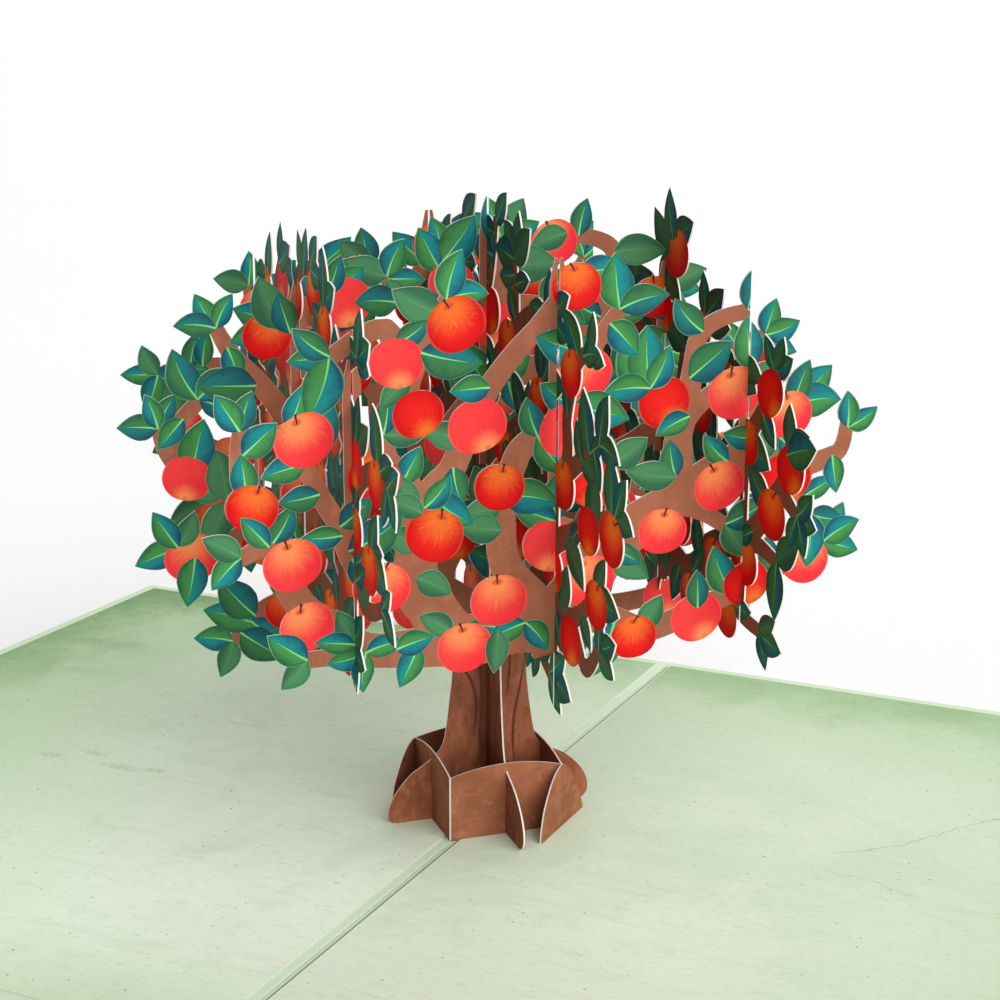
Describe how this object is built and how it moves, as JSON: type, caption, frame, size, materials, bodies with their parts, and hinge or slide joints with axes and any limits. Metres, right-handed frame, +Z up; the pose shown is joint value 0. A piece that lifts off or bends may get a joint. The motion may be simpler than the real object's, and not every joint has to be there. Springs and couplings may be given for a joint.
{
  "type": "pop up card",
  "caption": "Pop up card lying open, with a slotted paper apple tree that stands on a square root box over the fold.",
  "frame": {"origin": "on the table under the middle of the spine fold, below the lattice centre of the tree", "axes": "+Z up, +Y along the spine, +X across the spine to the right-hand leaf"},
  "size_m": [0.3, 0.2, 0.1203],
  "materials": {
    "cover_card": "matte pale green card",
    "liner_print": "matte printed paper, weathered green",
    "printed_bark": "matte card printed as bark, white cut edges",
    "printed_crown": "matte card printed with leaves, apples and branches, white cut edges"
  },
  "bodies": {
    "root": {"card_cover": "cover_card", "liner_left": "liner_print", "liner_right": "liner_print", "support_left": "printed_bark", "support_right": "printed_bark", "root_box_front": "printed_bark", "root_box_back": "printed_bark", "tree_slice_a_front": "printed_crown", "tree_slice_a_centre": "printed_crown", "tree_slice_a_back": "printed_crown", "tree_slice_b_left": "printed_crown", "tree_slice_b_centre": "printed_crown", "tree_slice_b_right": "printed_crown"}
  },
  "joints": []
}
